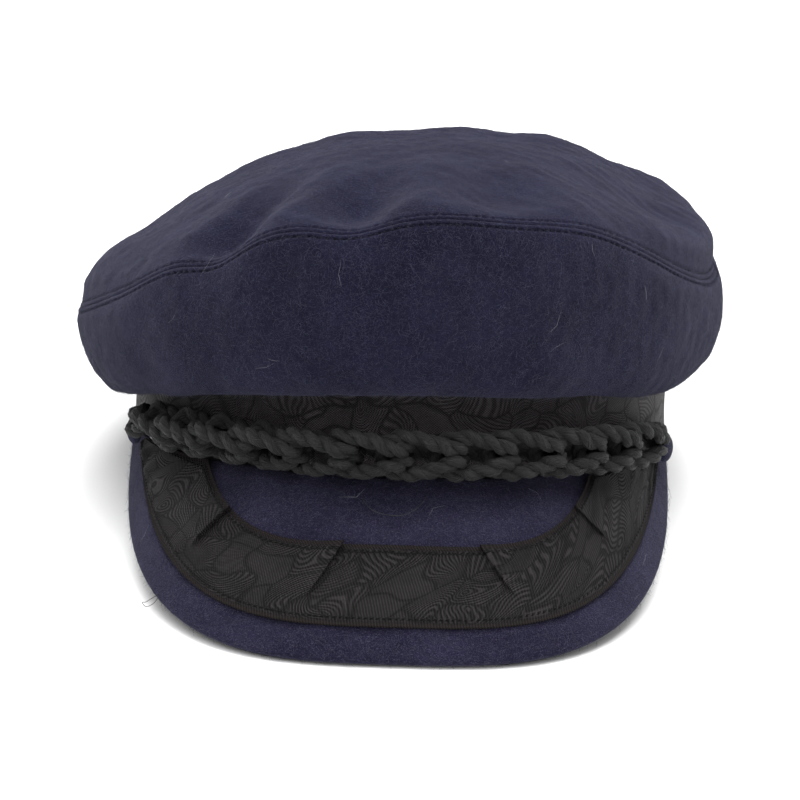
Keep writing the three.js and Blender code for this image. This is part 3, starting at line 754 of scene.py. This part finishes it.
matting = {"slow": 0.35, "bend": (2.2, 2.2, 2.2), "shift": (37.0, 11.0, 0), "detail": 1.5, "low": 0.78, "soft": 0.1,
           "share": 0.2, "turns": [(0.3, 0.2, 0.1), (0.2, 0.9, 0.5), (0.5, -0.8, 1.1), (0.1, 0.4, 1.7),
                                   (0.6, 1.2, 2.4)]}


# Matted fibres: noise squeezed across and bent by slower noise, in several directions, brightest kept.
def feltGroup():
    takes = {"Length": 2.2, "Width": 0.16, "Amount": 0.5}
    group, take, give = newGroup("mattedFibres", takes, ["Fibres", "Height"])
    bent = vector("MULTIPLY", noise(take["Place"], matting["slow"], 1.0, "Color"), matting["bend"])
    place = vector("ADD", take["Place"], bent)
    thin = calc("DIVIDE", 1.0, take["Width"])
    size = put("CombineXYZ", {0: calc("DIVIDE", 1.0, take["Length"]), 1: thin, 2: thin})[0]
    low = calc("SUBTRACT", matting["low"], times(take["Amount"], matting["share"]))
    high = calc("ADD", low, matting["soft"])
    total, height = 0.0, 0.0
    for k, turn in enumerate(matting["turns"]):
        turned = put("VectorRotate", {"Vector": place, "Rotation": turn}, rotation_type="EULER_XYZ")[0]
        shifted = vector("ADD", turned, tuple(k * value for value in matting["shift"]))
        fibres = noise(vector("MULTIPLY", shifted, size), 1.0, matting["detail"])
        total = calc("MAXIMUM", total, ranged(fibres, low, high))
        height = calc("MAXIMUM", height, fibres)
    group.links.new(total, give["Fibres"])
    group.links.new(height, give["Height"])
    return group


# Slow unevenness of a dyed cloth: 0.6 of a broad noise and 0.4 of one nine times finer.
def mottleGroup():
    group, take, give = newGroup("mottle", {"Size": 20.0}, ["Mottle"])
    scale = calc("DIVIDE", 1.0, take["Size"])
    big, small = noise(take["Place"], scale, 3.0), noise(take["Place"], times(scale, 9.0), 2.0)
    group.links.new(calc("ADD", times(big, 0.6), times(small, 0.4)), give["Mottle"])
    return group


felt, mottle = feltGroup(), mottleGroup()


# A material and its places: the cloth's UV in millimetres, or the object's own space.
def newMaterial(name, inside=False):
    material = bpy.data.materials.new(name)
    material.use_nodes = True
    node = material.node_tree.nodes.new("ShaderNodeTexCoord" if inside else "ShaderNodeUVMap")
    if not inside:
        node.uv_map = "cloth"
    return material, node.outputs["Object" if inside else "UV"]


# Sets or links the Principled BSDF's sockets, with _ for a space in their names.
def shade(material, **values):
    shader = material.node_tree.nodes["Principled BSDF"]
    setInputs(shader, {key.replace("_", " "): value for key, value in values.items()})
    return material


# The wool: its colours, its fibres, and their shares in its colour and height.
wool = {"dark": (0.0036, 0.0035, 0.0125, 1), "light": (0.0125, 0.0122, 0.031, 1), "fibre": (0.052, 0.052, 0.088, 1),
        "fine": {"Length": 2.4, "Width": 0.2, "Amount": 0.62}, "spot": 18.0,
        "coarse": {"Length": 5.5, "Width": 0.5, "Amount": 0.8}, "grain": 2.4, "bump": (0.65, 0.0006),
        "fineShare": 0.6, "coarseShare": 0.3, "coarseHeight": 1.2, "grainHeight": 0.8}


# Wool in the object's own millimetres: a mottled ground under matted fibres, darker and lighter by grain.
def makeWool(name, gain):
    material, inside = newMaterial(name, True)
    dark, light, fibre = [tinted(wool[key], gain) for key in ("dark", "light", "fibre")]
    place = vector("SCALE", inside, 1 / mm)
    grain = noise(place, wool["grain"], 2.0)
    fine, coarse = [useGroup(felt, Place=place, **wool[key]) for key in ("fine", "coarse")]
    spots = useGroup(mottle, Place=place, Size=wool["spot"])["Mottle"]
    colour = mixed(ranged(spots, 0.35, 0.65), dark, light)
    colour = mixed(times(coarse["Fibres"], wool["coarseShare"]), colour, light)
    colour = mixed(times(fine["Fibres"], wool["fineShare"]), colour, fibre)
    colour = mixed(ranged(grain, 0.62, 0.36, 0.0, 0.75), colour, dark)
    colour = mixed(ranged(grain, 0.58, 0.72, 0.0, 0.5), colour, fibre)
    height = calc("ADD", fine["Height"], times(coarse["Height"], wool["coarseHeight"]))
    height = calc("ADD", height, times(grain, wool["grainHeight"]))
    return shade(material, Base_Color=colour, Normal=bentNormal(height, *wool["bump"]),
                 Roughness=0.95, Sheen_Weight=0.13, Sheen_Roughness=0.45, Sheen_Tint=(0.55, 0.55, 0.75, 1),
                 Specular_IOR_Level=0.08)


# A fibre's or thread's colour, mottled from 0.45 of it to the whole.
def makeFibreMaterial(name, colour):
    material, place = newMaterial(name)
    spots = useGroup(mottle, Place=place, Size=6.0)["Mottle"]
    colour = mixed(ranged(spots, 0.35, 0.6), tinted(colour, 0.45), tuple(colour))
    return shade(material, Base_Color=colour, Roughness=0.7, Specular_IOR_Level=0.25)


# The brocade's colours, with painted shade in its low ground and painted highlight on its raised threads, and its
# sizes in millimetres.
brocade = {
    "shadedGround": (0.0006, 0.0005, 0.0006, 1), "litRaised": (0.043, 0.038, 0.041, 1), "edge": (0.016, 0.008, 0.008, 1),
    "leaf": 12.0, "random": 0.9, "drift": 0.075, "warp": 8.0, "away": 26.0, "ridge": 1.3, "rays": 62.0, "plain": 0.45,
    "vein": 0.07, "rib": 0.95, "weft": 0.8, "weave": 0.85, "edgeWeave": 1.1, "selvedge": (2.0, 1.2), "holeIn": 2.7,
    "holeStep": 2.0, "holeFade": (0.55, 0.3), "holeDepth": 0.8, "bump": (1.0, 0.0012),
}


# Leaves: warped Voronoi cells, plain or with fine ridges that run round a middle of their own or fan out
# from it, and a vein along each border. All is woven of small ribs, with a ribbed selvedge and a row of
# needle holes along both edges. The colour follows the relief, with painted shade in the low ground and
# the needle holes and painted highlight on the raised threads.
def makeBrocade(name, width, gain, carving):
    material, place = newMaterial(name)
    across = split(place)
    half = (0.5, 0.5, 0.5)
    drift = vector("SUBTRACT", noise(place, brocade["drift"], 0.0, "Color"), half)
    bent = vector("ADD", place, vector("SCALE", drift, 2 * brocade["warp"]))
    takes = {"Vector": bent, "Scale": 1 / brocade["leaf"], "Randomness": brocade["random"]}
    leaf, border = [put("TexVoronoi", takes, voronoi_dimensions="2D", feature=feature)
                    for feature in ("F1", "DISTANCE_TO_EDGE")]
    chance = split(leaf["Color"])
    middle = vector("SCALE", vector("SUBTRACT", leaf["Color"], half), brocade["away"])
    arm = vector("SUBTRACT", bent, vector("ADD", middle, leaf["Position"]))
    arm = vector("MULTIPLY", arm, (1, 1, 0))
    reach = put("VectorMath", {0: arm}, operation="LENGTH")["Value"]
    arms = split(arm)
    rays = calc("SINE", times(calc("ARCTAN2", arms["Y"], arms["X"]), brocade["rays"]))
    fanned = calc("GREATER_THAN", chance["Z"], 0.5)
    ridges = ranged(blended(fanned, sineWave(reach, brocade["ridge"]), rays), -0.7, 0.6)
    ribs, weft = sineWave(across["X"], brocade["rib"]), sineWave(across["Y"], brocade["weft"])
    weave = ranged(times(ribs, weft), -0.6, 0.6)
    carved = blended(ranged(chance["X"], 0.3, 0.26), ridges, brocade["plain"])
    carved = calc("ADD", times(carved, carving), 0.5 - 0.5 * carving)
    carved = times(carved, ranged(border[0], 0.0, brocade["vein"]))
    relief = calc("ADD", carved, times(weave, brocade["weave"]))
    inset = calc("MINIMUM", across["Y"], calc("SUBTRACT", width, across["Y"]))
    edge = ranged(inset, *brocade["selvedge"])
    relief = blended(edge, relief, times(weave, brocade["edgeWeave"]))
    fromRow = calc("ABSOLUTE", calc("SUBTRACT", inset, brocade["holeIn"]))
    holes = times(ranged(fromRow, *brocade["holeFade"]),
                  ranged(sineWave(across["X"], brocade["holeStep"]), 0.0, 0.4))
    relief = calc("SUBTRACT", relief, times(holes, brocade["holeDepth"]))
    spots = useGroup(mottle, Place=place, Size=9.0)["Mottle"]
    shadedGround = brocade["shadedGround"]
    # Painted shade and highlight: near black where the relief is low, light where it is raised.
    colour = mixed(ranged(relief, 0.25, 1.6), shadedGround, tinted(brocade["litRaised"], gain))
    colour = mixed(ranged(spots, 0.36, 0.62, 0.45, 0.0), colour, shadedGround)
    colour = mixed(times(edge, 0.5), colour, brocade["edge"])
    # Painted shade in the needle holes.
    colour = mixed(holes, colour, shadedGround)
    return shade(material, Base_Color=colour, Roughness=ranged(relief, 0.0, 1.3, 0.85, 0.55),
                 Normal=bentNormal(relief, *brocade["bump"]), Specular_IOR_Level=0.2)


yarn = {"dark": (0.0008, 0.0008, 0.001, 1), "light": (0.0165, 0.0165, 0.018, 1), "bump": (1.0, 0.002),
        "slant": 0.45, "squeeze": (0.3, 3.6, 1.0)}


# Fine filaments that run slantwise along each ply, with painted highlight on their ridges and painted shade in the
# grooves between them.
def makeYarn():
    material, place = newMaterial("blackCord")
    turned = put("VectorRotate", {"Vector": place, "Angle": yarn["slant"]}, rotation_type="Z_AXIS")[0]
    strands = noise(vector("MULTIPLY", turned, yarn["squeeze"]), 1.0, 3.0)
    # Painted highlight and shade: dark in the grooves between filaments, light on their ridges.
    colour = mixed(ranged(strands, 0.35, 0.7), yarn["dark"], yarn["light"])
    return shade(material, Base_Color=colour, Normal=bentNormal(strands, *yarn["bump"]),
                 Roughness=0.55, Specular_IOR_Level=0.28, Sheen_Weight=0.03, Sheen_Roughness=0.5)


lining = {"dark": (0.005, 0.005, 0.006, 1), "light": (0.012, 0.012, 0.013, 1), "thread": 0.6, "bump": (0.4, 0.0003)}


# Plain weave of the lining: two sine ribs at right angles.
def makeLiningCloth():
    material, place = newMaterial("blackLining")
    across = split(place)
    weave = times(*[sineWave(across[k], lining["thread"]) for k in ("X", "Y")])
    colour = mixed(ranged(weave, -1.0, 1.0), lining["dark"], lining["light"])
    return shade(material, Base_Color=colour, Normal=bentNormal(weave, *lining["bump"]),
                 Roughness=0.85)


# The colours of single fibres and threads, and each brocade's width, gain and depth of carving. The band's gain of
# 2.7 lightens its raised threads above the tape's: painted light.
fibreColours = {"woolFuzz": (0.06, 0.062, 0.105, 1), "cordFuzz": (0.03, 0.03, 0.032, 1),
                "paleHair": (0.32, 0.32, 0.36, 1), "seamThread": (0.006, 0.006, 0.012, 1),
                "tapeThread": (0.004, 0.003, 0.003, 1)}
brocades = {"bandBrocadePaintedLight": (60.0, 2.7, 0.6), "tapeBrocadeCloth": (tape["width"], 1.1, 1.1)}
# The peak's wool is the crown's navy wool brightened by this gain: painted light for the light that falls on the
# peak.
peakPaintedLightGain = (1.65, 1.55, 1.35)

navyWool, peakWoolPaintedLight = makeWool("navyWool", (1, 1, 1)), makeWool("peakWoolPaintedLight", peakPaintedLightGain)
blackCord, blackLining = makeYarn(), makeLiningCloth()
# The band's brocade is the tape's brocade made lighter, as painted light.
bandClothPaintedLight, tapeCloth = [makeBrocade(name, *values) for name, values in brocades.items()]
threads = {name: makeFibreMaterial(name, colour) for name, colour in fibreColours.items()}
print("materials made")

dress(makeCrownTop(), navyWool, "navy_wool", "crown_top")
dress(makeCrownSide("crownFront", -90, 90, 460, 100), navyWool, "navy_wool", "crown_front")
dress(makeCrownSide("crownBack", 90, 270, 340, 80), navyWool, "navy_wool", "crown_back")
dress(makePeak(), peakWoolPaintedLight, "navy_wool", "peak")
print("crown and peak made")
dress(makeBand(), bandClothPaintedLight, "black_brocade", "head_band")
dress(makeTape(), tapeCloth, "black_brocade", "peak_tape")
dress(makeLining(), blackLining, "black_lining", "peak_lining")
dress(makeInnerBand(), blackLining, "black_lining")
plies = makeCord()
for thing, grid in plies:
    dress(thing, blackCord, "black_cord", "braid")
dress(makeButton("buttonLeft", -1, cord["leftHeight"]), navyWool, "navy_wool", "button_left")
dress(makeButton("buttonRight", 1, cord["rightHeight"]), navyWool, "navy_wool", "button_right")
print("band, tape, lining, cord and buttons made")

# Stitches on the seams and the tape: pitch, length and thread.
stitches = {"seam": (crown["stitch"], 1.9, 0.26), "tape": (2.0, 1.2, 0.36)}
for name, (line, out) in seamLines.items():
    kind, slot = ("tape", "black_brocade") if name.startswith("Tape") else ("seam", "navy_wool")
    dress(addStitches("stitches" + name, line, out, *stitches[kind]), threads[kind + "Thread"], slot)

# Loose fibres and a few hairs: how many, then the range of length, mean rise and range of width.
fuzz = {"counts": {"crownTop": 13000, "crownFront": 13500, "crownBack": 9000, "peakCloth": 11000},
        "size": ((1.2, 3.6), 0.22, (0.02, 0.035))}
cordFuzz = {"count": 5000, "size": ((0.6, 2.2), 0.12, (0.015, 0.028))}
hairs = {"counts": {"crownTop": 9, "crownFront": 16, "peakCloth": 14}, "size": ((4, 10), 0.5, (0.03, 0.05))}
for k, (name, count) in enumerate(fuzz["counts"].items()):
    made = addFibres(name + "Fuzz", woolPatches[name], count, 40 + k, *fuzz["size"])
    dress(made, threads["woolFuzz"], "navy_wool")
for k, (thing, grid) in enumerate(plies):
    made = addFibres(f"cordFuzz{k + 1}", grid[:, ::-1], cordFuzz["count"], 60 + k, *cordFuzz["size"])
    dress(made, threads["cordFuzz"], "black_cord")
for k, (name, count) in enumerate(hairs["counts"].items()):
    made = addFibres(name + "Hairs", woolPatches[name], count, 80 + k, *hairs["size"])
    dress(made, threads["paleHair"], "navy_wool")


# Stray threads through points of the upright cap, and a loop at the peak's edge (side, share, height).
loop = [(-0.435, 0.97, 0.1), (-0.445, 1.02, 0.5), (-0.46, 1.08, 0.2), (-0.478, 1.12, -0.9), (-0.468, 1.115, -1.8),
        (-0.45, 1.05, -1.5), (-0.44, 0.99, -1.0)]
strays = {
    "sideThread": [(107, -8, 62), (109, -9, 58), (108.5, -11, 54), (110, -10, 50), (109, -8, 46)],
    "browHair": [(-6, -106, 33), (2, -109, 35), (9, -110, 32), (13, -109, 26)],
    "chinHair": [(-12, -106, -6), (-8, -112, -9), (0, -114, -10), (6, -111, -8), (9, -106, -5)],
}


# A thin thread drawn as a smooth curve through its points.
def makeStray(name, knots):
    share = np.linspace(0, 1, 60)
    line = np.stack([alongList(list(knots[:, k]), share) for k in range(3)], -1)
    return addTube(name, line, 0.1, 6)[0]


strays = {name: np.array(points, float) for name, points in strays.items()}
strays["peakLoop"] = overPeak(*np.array(loop).T)
for name, points in strays.items():
    dress(makeStray(name, points), threads["cordFuzz" if "Hair" in name else "seamThread"], "navy_wool")
print("fibres and threads made")


# The studio: a wide white floor, a white surround and two broad soft lights (power, size, place).
studio = {"surround": 0.72, "floor": 0.95, "half": 9, "aim": (0, 0, 0.05),
          "key": (52, 1.7, (0.2, 0.33, 1.7)), "fill": (17, 1.4, (-0.35, -1.05, 1.7))}


def addLight(name, power, size, place):
    data = bpy.data.lights.new(name, "AREA")
    data.energy, data.size = power, size
    thing = addObject(name, data)
    thing.location = place
    thing.rotation_euler = (Vector(studio["aim"]) - Vector(place)).to_track_quat("-Z", "Y").to_euler()


def makeStudio():
    world = bpy.data.worlds.new("studio")
    world.use_nodes = True
    background = world.node_tree.nodes["Background"]
    background.inputs[0].default_value = (1, 1, 1, 1)
    background.inputs[1].default_value = studio["surround"]
    bpy.context.scene.world = world
    corners = np.array([[-1, -1, 0], [1, -1, 0], [1, 1, 0], [-1, 1, 0]]) * studio["half"] / mm
    floor = addMesh("floor", corners, np.array([[0, 1, 2, 3]]))
    material = bpy.data.materials.new("paleFloor")
    material.use_nodes = True
    shade(material, Base_Color=(studio["floor"],) * 3 + (1,), Roughness=0.9, Specular_IOR_Level=0.1)
    floor.data.materials.append(material)
    addLight("key", *studio["key"])
    addLight("fill", *studio["fill"])
    bpy.context.scene.view_settings.view_transform = "Standard"


makeStudio()
